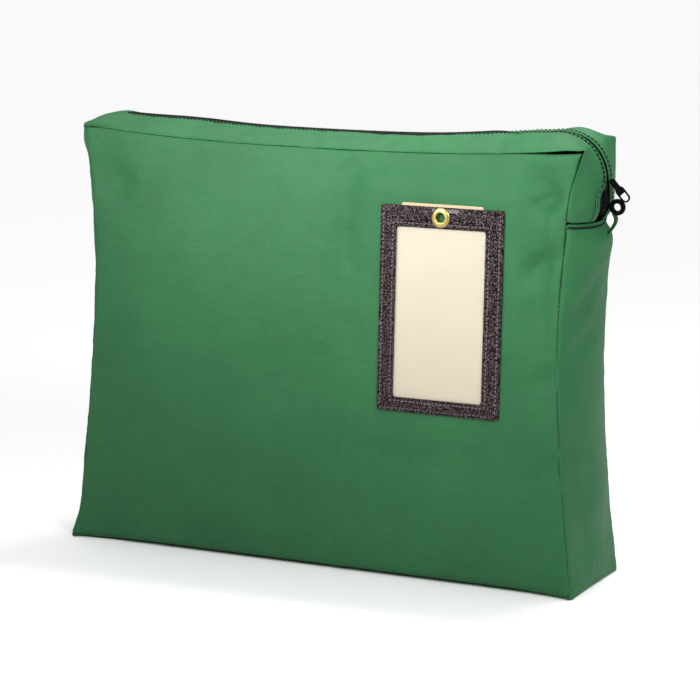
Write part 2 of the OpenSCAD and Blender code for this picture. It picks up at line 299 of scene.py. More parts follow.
def quads_of(ids):
    """Faces between the neighbours in a grid of point numbers."""
    return np.stack([ids[:-1, :-1], ids[:-1, 1:], ids[1:, 1:], ids[1:, :-1]], axis=2).reshape(-1, 4)


def settle(front, back, gusset):
    """Sews the three patterns into one closed bag and lets cloth simulation puff it a little.

    The seams, the zip, the stiff card holder and the bottom on the floor are held.
    """
    nf = (NZ + 1) * (NX + 1)
    ids_f = np.arange(nf).reshape(NZ + 1, NX + 1)
    ids_b = ids_f + nf
    ids_g = np.zeros((LOOP, NV + 1), int)
    ids_g[:, 0] = edge_loop(ids_f[:, :, None])[:, 0]
    ids_g[:, -1] = edge_loop(ids_b[:, :, None])[:, 0]
    ids_g[:, 1:-1] = 2 * nf + np.arange(LOOP * (NV - 1)).reshape(LOOP, NV - 1)
    points = np.concatenate([front.reshape(-1, 3), back.reshape(-1, 3), gusset[:, 1:-1].reshape(-1, 3)])
    quads = [quads_of(ids_f), quads_of(ids_b)[:, ::-1], quads_of(np.vstack([ids_g, ids_g[:1]]))]
    mesh = bpy.data.meshes.new("settling_bag")
    mesh.from_pydata((points * MM).tolist(), [], np.concatenate(quads).tolist())
    bag = bpy.data.objects.new("settling_bag", mesh)
    scene = bpy.context.scene
    scene.collection.objects.link(bag)

    held = np.zeros(len(points))
    held[ids_g[:, [0, -1]]] = 1
    top_left = NZ + NX - int(NX * (lip_left + half_w) / (2 * half_w))
    zip_run = slice(int(NZ * cross_z / bag_h), top_left + 1)
    held[ids_g[zip_run, ZIP_K - 1:ZIP_K + 2]] = 1
    held[ids_g[NX + 2 * NZ:, :]] = 1
    held[ids_g[0, :]] = 1
    under_holder = holder_far(front[:, :, 0], front[:, :, 2]) < 0.5
    held[ids_f[under_holder]] = 1
    for name, ids in (("held", np.nonzero(held)[0]), ("loose", ids_g[:, 1:-1].ravel())):
        bag.vertex_groups.new(name=name).add(ids.tolist(), 1.0, "REPLACE")

    # Coated packcloth hardly stretches and bends stiffly. The gusset is let out by about one per cent.
    cloth = bag.modifiers.new("cloth", "CLOTH")
    handling = {"quality": 6, "mass": 0.2, "tension_stiffness": 25, "compression_stiffness": 25,
        "shear_stiffness": 8, "bending_stiffness": 1.2, "air_damping": 2, "vertex_group_mass": "held",
        "pin_stiffness": 1, "use_pressure": True, "uniform_pressure_force": 0.9,
        "vertex_group_shrink": "loose", "shrink_min": -0.0012, "shrink_max": -0.012}
    for key, value in handling.items():
        setattr(cloth.settings, key, value)
    cloth.settings.effector_weights.gravity = 0
    cloth.collision_settings.use_collision = False
    frames = 20
    cloth.point_cache.frame_start = 1
    cloth.point_cache.frame_end = frames + 4
    for f in range(1, frames + 1):
        scene.frame_set(f)
    done = bag.evaluated_get(bpy.context.evaluated_depsgraph_get())
    out = np.zeros(len(points) * 3, np.float32)
    done.data.vertices.foreach_get("co", out)
    scene.frame_set(1)
    bpy.data.objects.remove(bag)
    moved = out.reshape(-1, 3) / MM - points
    far = np.linalg.norm(moved, axis=1, keepdims=True)
    cap = 9.0
    moved *= np.minimum(1, cap / np.maximum(far, 1e-6))
    points = points + moved
    return points[ids_f], points[ids_b], points[ids_g]


class Cloth:
    """A grid of points read as one smooth surface; a and b are places along its rows and columns."""

    def __init__(self, grid, closed=False):
        self.grid = grid
        self.closed = closed

    def at(self, a, b):
        """The points at row places a and column places b."""
        a, b = np.broadcast_arrays(np.asarray(a, float), np.asarray(b, float))
        n, m = self.grid.shape[:2]
        ia = np.floor(a).astype(int)
        ib = np.floor(b).astype(int)
        if not self.closed:
            ia = np.clip(ia, 0, n - 2)
        ib = np.clip(ib, 0, m - 2)
        fa, fb = a - ia, b - ib
        out = np.zeros(a.shape + (3,))
        for i, wa in enumerate(weights(fa)):
            row = (ia + i - 1) % n if self.closed else np.clip(ia + i - 1, 0, n - 1)
            for j, wb in enumerate(weights(fb)):
                col = np.clip(ib + j - 1, 0, m - 1)
                out += (wa * wb)[..., None] * self.grid[row, col]
        return out

    def facing(self, a, b):
        """The outward unit normal, judged from the bag's middle and above all front to back."""
        h = 0.35
        da = self.at(a + h, b) - self.at(a - h, b)
        db = self.at(a, b + h) - self.at(a, b - h)
        n = np.cross(da, db)
        n /= np.maximum(np.linalg.norm(n, axis=-1, keepdims=True), 1e-9)
        out = (self.at(a, b) - np.array([0, 0, bag_h / 2])) * np.array([1, 3, 1.2])
        flip = np.sign(np.sum(n * out, axis=-1, keepdims=True))
        return n * np.where(flip == 0, 1, flip)


def weights(f):
    """Catmull-Rom weights of the four points round a place."""
    f2, f3 = f * f, f * f * f
    return ((-f3 + 2 * f2 - f) / 2, (3 * f3 - 5 * f2 + 2) / 2, (-3 * f3 + 4 * f2 + f) / 2, (f3 - f2) / 2)


# ---------------------------------------------------------------- mesh helpers
def make(name, points, faces):
    """A smooth-shaded mesh object from points in millimetres."""
    mesh = bpy.data.meshes.new(name)
    mesh.from_pydata((np.asarray(points) * MM).tolist(), [], [list(map(int, f)) for f in faces])
    mesh.validate()
    mesh.polygons.foreach_set("use_smooth", [True] * len(mesh.polygons))
    obj = bpy.data.objects.new(name, mesh)
    bpy.context.scene.collection.objects.link(obj)
    return obj


def grid_faces(n, m, start=0, wrap_rows=False, wrap_cols=False, flip=False):
    """Faces of n rows of m points, numbered from start."""
    ids = start + np.arange(n * m).reshape(n, m)
    if wrap_rows:
        ids = np.vstack([ids, ids[:1]])
    if wrap_cols:
        ids = np.hstack([ids, ids[:, :1]])
    q = quads_of(ids)
    return (q[:, ::-1] if flip else q).tolist()


def tube_faces(rings, sides):
    """Faces of a tube made of rings of points, closed at both ends."""
    ends = [list(range(sides))[::-1], list(range((rings - 1) * sides, rings * sides))]
    return grid_faces(rings, sides, wrap_cols=True) + ends


def unit(v):
    """Vectors of length 1 along the last axis."""
    return v / np.maximum(np.linalg.norm(v, axis=-1, keepdims=True), 1e-9)


def shell(name, p, outward, thick):
    """A closed sheet: the outer grid p, the same grid moved inwards by thick, and the rims."""
    n, m = p.shape[:2]
    normal = unit(np.cross(np.gradient(p, axis=0), np.gradient(p, axis=1)))
    sign = np.sign(np.sum(normal * outward)) or 1
    inner = p - normal * sign * thick
    k = n * m
    turned = sign > 0
    faces = grid_faces(n, m, 0, flip=not turned) + grid_faces(n, m, k, flip=turned)
    ids = np.arange(k).reshape(n, m)
    rim = np.concatenate([ids[0, :-1], ids[:-1, -1], ids[-1, :0:-1], ids[:0:-1, 0]])
    for i, a in enumerate(rim):
        b = rim[(i + 1) % len(rim)]
        faces.append([b, a, a + k, b + k] if turned else [a, b, b + k, a + k])
    obj = make(name, np.concatenate([p.reshape(-1, 3), inner.reshape(-1, 3)]), faces)
    obj.data.set_sharp_from_angle(angle=math.radians(50))
    return obj


def wander(t, seed, step):
    """A smooth, repeatable wander between about -1 and 1 along a length t, with bumps about step apart."""
    rng = np.random.default_rng(seed)
    turn = 6.28
    out = np.zeros_like(t, dtype=float)
    for scale, size in ((1.0, 0.55), (0.61, 0.3), (1.9, 0.45)):
        out += size * np.sin(2 * np.pi * t / (step * scale) + rng.uniform(0, turn))
    return out * (0.6 + 0.4 * np.sin(2 * np.pi * t / (step * 7.3) + rng.uniform(0, turn)))


def samples(first, last, step, fine_first=True, fine_last=True, place=6.0):
    """Places from first to last about step apart, closer at a sewn edge.

    place is the length of one place, and step the spacing, both in millimetres.
    """
    near = np.array([0, 0.35, 0.8, 1.4, 2.2, 3.4]) / place
    length = abs(last - first)
    head = near if fine_first else near[:1]
    tail = near if fine_last else near[:1]
    n = max(2, int(round((length - head[-1] - tail[-1]) * place / step)))
    mid = np.linspace(head[-1], length - tail[-1], n + 1)
    along = np.concatenate([head[:-1], mid, length - tail[-2::-1]])
    return first + np.sign(last - first) * along


def along_lengths(p, axis):
    """Distance travelled along each row or column of a grid of points."""
    d = np.linalg.norm(np.diff(p, axis=axis), axis=2)
    zero = np.zeros_like(np.take(d, [0], axis=axis))
    return np.concatenate([zero, np.cumsum(d, axis=axis)], axis=axis)


def sewn(p, normal, edges, deep, seed, pucker=0.35):
    """Rolls the named edges of a grid in towards the seam, with small puckers beside the stitches.

    edges are from 'a0', 'a1', 'b0', 'b1': the first and last row, the first and last column.
    deep gives the seam's depth from the edge's points.
    """
    out = p.copy()
    roll, pucker_reach = 1.5, 8
    for k, edge in enumerate(edges):
        axis = 0 if edge[0] == "a" else 1
        length = along_lengths(p, axis)
        total = length[-1:] if axis == 0 else length[:, -1:]
        first = edge[1] == "0"
        d = length if first else total - length
        size = deep(np.take(p, [0 if first else -1], axis=axis))[..., 0]
        inwards = unit(np.gradient(p, axis=axis) * (1 if first else -1))
        fall = np.exp(-(d / roll) ** 1.2)
        wave = wander(p[..., 0] + p[..., 2], seed + 10 * k, 9.0)
        out += inwards * (0.5 * size * fall)[..., None]
        out -= normal * (size * fall)[..., None]
        out += normal * (pucker * wave * np.exp(-d / pucker_reach) * (1 - np.exp(-d / roll)))[..., None]
    return out


# ---------------------------------------------------------------- soft folds
def pressed(across, height, folds):
    """Soft oval hollows (size below 0) and swellings of a face, added up.

    Each fold has its centre, its reach along and across itself, its size, and its turn in the face's plane.
    """
    total = 0.0
    for (x0, z0), (long, short), size, turn in folds:
        c, s = math.cos(turn), math.sin(turn)
        x, z = across - x0, height - z0
        total = total + size * hill((x * c + z * s) / long, 0, 1) * hill((-x * s + z * c) / short, 0, 1)
    return total


front_folds = [((186, 322), (22, 13), -5.5, 0.35), ((190, 232), (13, 40), -4.6, 0.12),
    ((199, 314), (12, 8), -5.4, 0.4), ((186, 260), (26, 9), -6.0, 0.5), ((205, 290), (9, 38), 2.2, 0.1),
    ((196, 172), (24, 9), -3.2, 0.5), ((198, 96), (28, 11), -3.0, 0.45), ((-190, 312), (16, 15), -4.4, -0.5),
    ((30, 246), (18, 70), -2.4, 0.1), ((110, 104), (80, 18), -2.6, 0.06), ((-120, 180), (90, 60), 1.8, 0.3),
    ((-60, 60), (120, 18), -1.4, -0.12), ((60, 330), (60, 10), -1.2, 0.05),
    ((-190, 60), (22, 50), -2.4, -0.3)]
back_folds = [((120, 250), (70, 26), -2.4, 0.5), ((-130, 120), (80, 30), 2.0, -0.4),
    ((-150, 300), (50, 18), -2.0, 0.3), ((40, 60), (100, 20), -1.6, 0.1)]
right_folds = [((-12, 236), (34, 9), -3.6, 0.75), ((-22, 196), (30, 10), -3.4, 0.6),
    ((6, 262), (30, 9), 1.6, 0.7), ((-26, 120), (26, 12), -3.0, -0.5), ((14, 70), (34, 14), 1.6, 0.3),
    ((-20, 40), (24, 10), -2.6, -0.8)]
left_folds = [((-10, 220), (34, 9), -2.8, -0.6), ((12, 150), (30, 10), -2.4, 0.5),
    ((-16, 80), (30, 12), 2.0, 0.3)]

front_grid, back_grid = front_pattern(), back_pattern()
gusset_grid = gusset_pattern(edge_loop(front_grid), edge_loop(back_grid))
front_grid, back_grid, gusset_grid = settle(front_grid, back_grid, gusset_grid)
gusset_cloth = Cloth(gusset_grid, closed=True)


def place_of_x(x):
    """The gusset's place along the top for a distance from the middle."""
    return NZ + NX * (half_w - x) / (2 * half_w)


def place_of_z(z):
    """The gusset's place up the right side for a height."""
    return NZ * z / float(seam_z(half_w))


s_cross = place_of_z(cross_z + 2.2)
s_right = place_of_x(lip_right)
s_left = place_of_x(lip_left)
s_mid = place_of_x(0)


def column_of(s, y):
    """The gusset's place across, for a distance y from the middle of the zip."""
    front = -gusset_cloth.at(s, 0.0)[..., 1]
    back = gusset_cloth.at(s, float(NV))[..., 1]
    v = np.where(np.asarray(y) < 0, y / front, y / back)
    return (v + 1) / 2 * NV


def on_gusset(s, y, depth=0.0):
    """A point y from the middle line, depth below the cloth, and the outward normal there."""
    b = column_of(s, y)
    n = gusset_cloth.facing(s, b)
    return gusset_cloth.at(s, b) - n * np.asarray(depth)[..., None], n


def middle_line(s):
    """Points of the zip's middle line."""
    return on_gusset(s, np.zeros_like(s))[0]


def steps_along(s0, s1, y, pitch):
    """Places from s0 to s1 that are pitch millimetres apart along the line y from the middle."""
    s = np.linspace(s0, s1, 1200)
    p = on_gusset(s, np.full_like(s, y))[0]
    length = np.concatenate([[0], np.cumsum(np.linalg.norm(np.diff(p, axis=0), axis=1))])
    n = max(1, int(length[-1] / pitch))
    return np.interp((np.arange(n) + 0.5) * length[-1] / n, length, s)


# ---------------------------------------------------------------- threads and teeth
def beads(name, centres, forward, up, length, width, height, sides=6, rings=4):
    """Rounded bars, one at each centre, along forward: stitches and zip teeth."""
    centres, forward, up = (np.asarray(v, float) for v in (centres, forward, up))
    forward = unit(forward)
    up = unit(up - forward * np.sum(up * forward, axis=1, keepdims=True))
    side = np.cross(forward, up)
    t = np.linspace(-1, 1, rings)
    girth = np.sqrt(np.clip(1 - np.abs(t) ** 3, 0.12, 1))
    a = 2 * np.pi * (np.arange(sides) + 0.5) / sides
    local = np.array([(length * t[i], width * girth[i] * math.cos(b), height * girth[i] * math.sin(b))
        for i in range(rings) for b in a]) / 2
    pts = centres[:, None]
    for k, way in enumerate((forward, side, up)):
        pts = pts + local[None, :, k:k + 1] * way[:, None]
    one = tube_faces(rings, sides)
    faces = [[i + k * len(local) for i in f] for k in range(len(centres)) for f in one]
    return make(name, pts.reshape(-1, 3), faces)


def stitch_line(name, p, normal, pitch, length, width, height, sunk=0.0):
    """Stitches along a dense line of points."""
    gone = np.concatenate([[0], np.cumsum(np.linalg.norm(np.diff(p, axis=0), axis=1))])
    n = max(2, int(gone[-1] / pitch))
    at = (np.arange(n) + 0.5) * gone[-1] / n

    def read(values, places):
        return np.stack([np.interp(places, gone, values[:, k]) for k in range(3)], axis=1)

    up = read(normal, at)
    ahead = read(p, at + 0.5) - read(p, at - 0.5)
    return beads(name, read(p, at) - up * sunk, ahead, up, length, width, height)


def joined(name, objs):
    """One mesh object from several."""
    points, faces, start = [], [], 0
    for o in objs:
        co = np.array([v.co for v in o.data.vertices], float).reshape(-1, 3)
        points.append(co / MM)
        faces += [[i + start for i in f.vertices] for f in o.data.polygons]
        start += len(co)
        bpy.data.objects.remove(o)
    return make(name, np.concatenate(points), faces)


def rod(name, line, radius, sides):
    """A round rod along a line of points, closed at its ends."""
    line = np.asarray(line, float)
    t = unit(np.gradient(line, axis=0))
    up = np.zeros_like(t)
    ref = np.array([0.0, 1.0, 0.0]) if abs(t[0][1]) < 0.9 else np.array([1.0, 0.0, 0.0])
    for i, d in enumerate(t):
        ref = unit(ref - d * np.dot(ref, d))
        up[i] = ref
    side = np.cross(t, up)
    a = (2 * np.pi * np.arange(sides) / sides)[None, :, None]
    ring = line[:, None] + radius * (np.cos(a) * up[:, None] + np.sin(a) * side[:, None])
    return make(name, ring.reshape(-1, 3), tube_faces(len(line), sides))


# ---------------------------------------------------------------- cloth pieces
def crease_deep(line):
    """Seam depth: deeper where the front's top right corner is tucked in, and at the other corners."""
    x, y, z = line[..., 0], line[..., 1], line[..., 2]
    right = hill(x, half_w - 10, 22) * hill(z, bag_h - 3, 14) * (y < 0)
    left = hill(x, 2 - half_w, 9) * hill(z, bag_h, 8)
    low = hill(np.abs(x), half_w, 9) * hill(z, 0, 7)
    cross = hill(z, cross_z, 9) * (np.abs(y) < 38) * (x > 0)
    uneven = 0.5 * wander(x - 0.6 * z, 5, 34.0) + (0.7 + 1.6 * (y < 0)) * hill(z, 0, 10)
    return (1.9 + uneven + 3.4 * right + 5.0 * left + 2.6 * low - 0.9 * cross)[..., None]


def overhang(line):
    """The zip strips' side of the same seams: they stand over the panel where the panel is tucked in."""
    x, y, z = line[..., 0], line[..., 1], line[..., 2]
    right = hill(x, half_w - 14, 26) * hill(z, bag_h - 4, 16) * (y < -20)
    left = hill(x, 4 - half_w, 10) * hill(z, bag_h, 8) * (y < -20)
    return crease_deep(line) - 0.6 - (5.4 * right + 6.2 * left)[..., None]


def flare(line, side):
    """How far a zip lip draws back from the zip just above the cross seam; line is the zip's middle line."""
    return (9.5 if side < 0 else 4.0) * smooth((cross_z + 36 - line[:, 2]) / 17) * (line[:, 0] > corner_x)


def on_top_run(x):
    """1 on the zip's long top run, 0 round its corner."""
    return smooth((corner_x - 20 - x) / 40)


def full_crest(x):
    """1 where the front zip strip stands fullest, between the middle and the corner."""
    return hill(x, 62, 40)


def panel(name, grid, step, folds, seed, strength):
    """One cloth face: its sheet, and the surface that its seam stitches follow."""
    a = samples(0, NZ, step, place=bag_h / NZ)
    b = samples(0, NX, step, place=2 * half_w / NX)
    a, b = np.meshgrid(a, b, indexing="ij")
    face = Cloth(grid)
    p, n = face.at(a, b), face.facing(a, b)
    x, z = p[..., 0], p[..., 2]
    p = p + n * (strength(x, z) * pressed(x, z, folds))[..., None]
    p = sewn(p, n, ["a0", "a1", "b0", "b1"], crease_deep, seed)
    return shell(name, p, n, cloth_t), (p, n)


def lower_gusset():
    """Down the right side, along the bottom, up the left side and a little way over the top."""
    a = samples(s_cross, s_left - LOOP, 3.2)
    b = samples(0, NV, 3.4, place=6.2)
    a, b = np.meshgrid(a, b, indexing="ij")
    p, n = gusset_cloth.at(a, b), gusset_cloth.facing(a, b)
    x, y, z = p[..., 0], p[..., 1], p[..., 2]
    on_side = smooth((np.abs(x) - half_w + 40) / 20) * smooth((z - 12) / 25)
    push = np.where(x > 0, pressed(y, z, right_folds), pressed(y, z, left_folds))
    p = p + n * (push * on_side)[..., None]
    d = along_lengths(p, 0)
    bead = 0.9 * hill(d, 1.6, 0.9) - 0.8 * hill(d, 3.2, 0.8)
    p = p + n * bead[..., None]
    p = sewn(p, n, ["a0", "b0", "b1"], crease_deep, 11)
    return shell("lower_gusset_cloth", p, n, cloth_t)


def zip_strip(name, s0, s1, side, fine_first):
    """One cloth strip beside the zip: side is -1 in front and 1 behind. Its free edge is folded under."""
    s = samples(s0, s1, 3.0, fine_first, False)
    edge_b = 0.0 if side < 0 else float(NV)
    free = column_of(s, side * (lip_gap + flare(middle_line(s), side)))
    near = np.array([0, 0.05, 0.12, 0.2, 0.32]) * 6
    far = np.linspace(0.5, 16.0, 22)
    across = np.concatenate([near, far[far > 2.2]])
    share = across / across[-1]
    a = np.repeat(s[:, None], len(share), axis=1)
    b = edge_b + (free[:, None] - edge_b) * share[None, :]
    p, n = gusset_cloth.at(a, b), gusset_cloth.facing(a, b)
    y = np.abs(p[..., 1])
    gap = np.abs(p[:, -1:, 1])
    on_top = on_top_run(p[..., 0])
    lip = 0.3 * hill(y - gap, 2.4, 1.8) - 0.6 * hill(y - gap, topstitch_y - lip_gap, 0.9)
    crest = topstitch_y + 4.0 * full_crest(p[..., 0])
    ridge = 1.4 * hill(y, crest, 3.5) - 0.6 * smooth((crest - y) / 6)
    rise = ridge if side < 0 else -0.8 * smooth((12 - y) / 8)
    p = p + n * (lip * (1 - 0.7 * on_top) + on_top * rise)[..., None]
    p = sewn(p, n, ["b0", "a0"] if fine_first else ["b0"], overhang, 17 + side, pucker=0.3)
    inward = np.array([0, -side, 0.0])
    fold = [(0.28, 0.2), (0.4, 0.6), (0.2, 1.0), (-0.6, 1.2), (-3.0, 1.25), (-6.0, 1.25)]
    last, up = p[:, -1], n[:, -1]
    under = [last + inward * over - up * down for over, down in fold]
    p = np.concatenate([p, np.stack(under, axis=1)], axis=1)
    out = np.concatenate([n, np.zeros((len(s), len(fold), 3))], axis=1)
    return shell(name, p, out, strip_t)


def zip_tape(name, s0, s1, side):
    """The zip's tape: deep under the strip round the corner, just under it along the top."""
    s = np.linspace(s0, s1, max(8, int(abs(s1 - s0) * 1.5)))
    y = np.array([0.35, 1.5, 2.2, 3, 5, 6.5, 8, 9.5, 11.5, 14, 16])
    corner_depth = 2.0 + (tape_depth - 2.0) * (1 - smooth((y - 5) / 3.4))
    top_depth = np.interp(y, [0.35, 1.5, 2.2], [0.4, 0.9, 2.4])
    on_top = on_top_run(middle_line(s)[:, :1])
    a, yy = np.meshgrid(s, side * y, indexing="ij")
    p, n = on_gusset(a, yy, (1 - on_top) * corner_depth[None, :] + on_top * top_depth[None, :])
    return shell(name, p, n, tape_t)


def coil_level(s):
    """Depth of the zip's teeth: on the long top run they stand up between the lips."""
    return coil_depth + 0.4 - 4.1 * on_top_run(middle_line(s)[:, 0])


def zip_coil(name, s0, s1, side, inner):
    """Nylon teeth of one half of the zip, half a pitch from the other half's, with their cord."""
    s = steps_along(s0, s1, 0, tooth_pitch)
    if side > 0:
        s = (s + (s[1] - s[0]) / 2)[:-1]
    p, n = on_gusset(s, np.full_like(s, side * (inner + 1.5)), coil_level(s))
    a = on_gusset(s, np.full_like(s, side * inner), coil_level(s))[0]
    teeth = beads(name + "_teeth", p, p - a, n, 3.0, 1.25, 1.5)
    line = np.linspace(s0, s1, max(12, int(abs(s1 - s0) * 2)))
    q = on_gusset(line, np.full_like(line, side * (inner + 2.7)), coil_level(line) + 0.1)[0]
    return joined(name, [teeth, rod(name + "_cord", q, 0.75, 6)])


def topstitch(name, s0, s1, side):
    """The thick stitch row beside the zip; the stitches are drawn a little larger than real, to show."""
    s = steps_along(s0, s1, side * topstitch_y, topstitch_pitch)
    y = side * (topstitch_y + flare(middle_line(s), side))
    p, n = on_gusset(s, y)
    ahead = on_gusset(s + 0.05, y)[0]
    rise = 1.4 - 1.3 * full_crest(p[:, 0]) if side < 0 else -0.5
    up = on_top_run(p[:, 0]) * rise + 0.05
    return beads(name, p + n * up[:, None], ahead - p, n, 2.7, 3.1, 1.8)


def binding(name, side):
    """Binding tape over the seam allowance, inside the bag."""
    s = np.linspace(s_cross - 1, s_left - LOOP + 1, 260)
    edge = np.linspace(0.35, 1.7, 4)
    a, b = np.meshgrid(s, edge if side < 0 else NV - edge, indexing="ij")
    n = gusset_cloth.facing(a, b)
    inside = 2.4
    return shell(name, gusset_cloth.at(a, b) - n * inside, n, binding_t)


def seam_stitches(name, surface):
    """Small stitches sunk in the seam round a panel, on the third line of points from its edge."""
    p, n = surface
    runs = [(p[k], n[k]) for k in (2, -3)] + [(p[:, k], n[:, k]) for k in (2, -3)]
    return joined(name, [stitch_line(f"{name}_{k}", line[2:-2], up[2:-2], seam_pitch, 2.5, 1.0, 0.8)
        for k, (line, up) in enumerate(runs)])


def cross_stitches(name, s_at):
    """The stitch row beside the cross seam of the gusset; larger than real, to show."""
    b = np.linspace(0.4, NV - 0.4, 300)
    a = np.full_like(b, s_at)
    p, n = gusset_cloth.at(a, b), gusset_cloth.facing(a, b)
    return stitch_line(name, p, n, cross_pitch, 2.9, 2.3, 1.4, sunk=0.1)


# ---------------------------------------------------------------- card holder
up_dir = np.array([0, math.sin(slope), math.cos(slope)])
out_dir = np.array([0, -math.cos(slope), math.sin(slope)])


def on_holder(x, w, out):
    """A point of the card holder's leaning plane: x across, w up along it, out towards the front."""
    x, w, out = np.broadcast_arrays(np.asarray(x, float), np.asarray(w, float), np.asarray(out, float))
    base = np.array([0, plane_y, 0])
    return base + x[..., None] * np.array([1, 0, 0]) + w[..., None] * up_dir + out[..., None] * out_dir


def round_rect(x0, z0, x1, z1, r, per_side, per_corner):
    """Points round a rectangle with round corners, the same count for every size."""
    centres = [(x1 - r, z0 + r, -90), (x1 - r, z1 - r, 0), (x0 + r, z1 - r, 90), (x0 + r, z0 + r, 180)]
    arcs = []
    for cx, cz, a0 in centres:
        turns = [math.radians(a0 + 90 * i / per_corner) for i in range(per_corner + 1)]
        arcs.append([(cx + r * math.cos(a), cz + r * math.sin(a)) for a in turns])
    out = []
    for k in range(4):
        out += arcs[k]
        p, q = np.array(arcs[k][-1]), np.array(arcs[(k + 1) % 4][0])
        out += [tuple(p + (q - p) * i / per_side) for i in range(1, per_side)]
    return np.array(out)


holder_outer = (holder_x - holder_w / 2, holder_z, holder_x + holder_w / 2, holder_z + holder_h)
holder_inner = (holder_x - window_w / 2, holder_z + window_sill, holder_x + window_w / 2,
    holder_z + window_sill + window_h)
# The grommet's place: across, and up along the holder's plane.
grommet_middle = middle_and_size("grommet")[0]
grommet_x, grommet_w = float(grommet_middle[0]), float((grommet_middle - np.array([0, plane_y, 0])) @ up_dir)


def vinyl_frame():
    """Grained vinyl frame: its outer edge is stitched down, its window edge stands over the pane."""
    o = round_rect(*holder_outer, 2.0, 46, 5)
    i = round_rect(*holder_inner, 2.4, 46, 5)
    # From the outer edge (0) to the window's (1): the height, with a groove under each stitch row.
    profile = [(0, 0.2), (0, 1.2), (0.02, 1.65), (0.05, 1.95), (0.1, 2.1), (0.15, 2.0), (0.19, 1.5),
        (0.23, 2.05), (0.3, 2.35), (0.45, 2.6), (0.6, 2.8), (0.7, 2.85), (0.75, 2.7), (0.79, 2.3),
        (0.84, 2.8), (0.92, 3.0), (0.97, 2.9), (1.0, 2.7), (1.0, 2.2), (0.97, 2.1)]
    rows = []
    q = np.arange(len(o))
    for t, h in profile:
        p = o + (i - o) * t
        # The mouth along the top edge is not stitched, so the stitch groove stops there.
        mouth = (p[:, 1] > holder_outer[3] - 6) & (0.14 < t < 0.24)
        h = np.where(mouth, 2.1, h)
        wave = 0.12 * np.sin(q * 0.21 + 1.0) * (0.05 < t < 0.95)
        rows.append(on_holder(p[:, 0], p[:, 1], h + wave))
    n, m = len(rows), len(o)
    rim = i + (o - i) * 0.03
    rows += [on_holder(rim[:, 0], rim[:, 1], 2.08), on_holder(o[:, 0], o[:, 1], 0.2)]
    return drilled(make("vinyl_frame", np.concatenate(rows), grid_faces(n + 2, m, wrap_cols=True)), 4.3)


def drilled(obj, r):
    """Cuts the grommet's hole through a piece."""
    a = 2 * np.pi * np.arange(40) / 40
    ring = [on_holder(grommet_x + r * np.cos(a), grommet_w + r * np.sin(a), h) for h in (-1.0, 6.0)]
    tool = make("drill", np.concatenate(ring), tube_faces(2, 40))
    mod = obj.modifiers.new("hole", "BOOLEAN")
    mod.operation = "DIFFERENCE"
    mod.solver = "EXACT"
    mod.object = tool
    done = bpy.data.meshes.new_from_object(obj.evaluated_get(bpy.context.evaluated_depsgraph_get()))
    obj.modifiers.clear()
    obj.data = done
    bpy.data.objects.remove(tool)
    return obj


def frame_stitches():
    """Two rows on the vinyl frame: three sides of its outer edge, and all round the window."""
    in_set, out_set, corner, mouth = 2.9, 3.0, 2.0, 2.5
    x0, z0, x1, z1 = holder_outer
    path = [(x0 + in_set, z1 - mouth), (x0 + in_set, z0 + in_set + corner),
        (x0 + in_set + corner, z0 + in_set), (x1 - in_set - corner, z0 + in_set),
        (x1 - in_set, z0 + in_set + corner), (x1 - in_set, z1 - mouth)]
    x0, z0, x1, z1 = holder_inner
    round_window = round_rect(x0 - out_set, z0 - out_set, x1 + out_set, z1 + out_set, corner, 60, 4)
    rows = []
    for name, line, level, width in (("outer_row", dense(path), 1.85, 1.5),
            ("inner_row", np.vstack([round_window, round_window[:1]]), 2.6, 1.4)):
        up = np.tile(out_dir, (len(line), 1))
        p = on_holder(line[:, 0], line[:, 1], level)
        rows.append(stitch_line(name, p, up, seam_pitch, 2.1, width, 0.85))
    return joined("frame_stitches", rows)


def dense(path, step=0.8):
    """Points about step apart along a path of straight runs."""
    out = []
    for p, q in zip(path[:-1], path[1:]):
        p, q = np.array(p), np.array(q)
        n = max(2, int(np.linalg.norm(q - p) / step))
        out += [p + (q - p) * i / n for i in range(n)]
    out.append(np.array(path[-1]))
    return np.array(out)


def lathe(name, profile, centre, axis, steps=64):
    """A turned part: profile is (radius, height along axis) pairs of a closed outline."""
    axis = unit(np.asarray(axis, float))
    ref = np.array([1.0, 0, 0]) if abs(axis[0]) < 0.9 else np.array([0, 0, 1.0])
    u = unit(ref - axis * (ref @ axis))
    v = np.cross(axis, u)
    pts = []
    for t in 2 * np.pi * np.arange(steps) / steps:
        out = math.cos(t) * u + math.sin(t) * v
        pts += [np.asarray(centre) + r * out + h * axis for r, h in profile]
    return make(name, pts, grid_faces(steps, len(profile), wrap_rows=True, wrap_cols=True, flip=True))


def bent(points, n):
    """Rounds a closed outline by a smooth curve through its points."""
    p = np.array(points, float)
    out = []
    for i in range(len(p)):
        q = [p[(i + k - 1) % len(p)] for k in range(4)]
        for f in np.arange(n) / n:
            out.append(sum(w * x for w, x in zip(weights(np.array(f)), q)))
    return out


def brass_grommet():
    """The rolled flange and the barrel of the grommet."""
    hole = 3.55
    flange = [(0, 1.2), (0, 2.4), (0.1, 3.3), (0.55, 3.85), (1.3, 4.0), (2.4, 3.85), (3.5, 3.55),
        (4.2, 3.2), (4.4, 2.9), (4.1, 2.85), (2.2, 3.0), (0.75, 3.0), (0.7, 2.2), (0.7, 1.2)]
    profile = [(hole + r, h) for r, h in flange]
    return lathe("brass_grommet", profile, on_holder(grommet_x, grommet_w, 0), out_dir, 72)


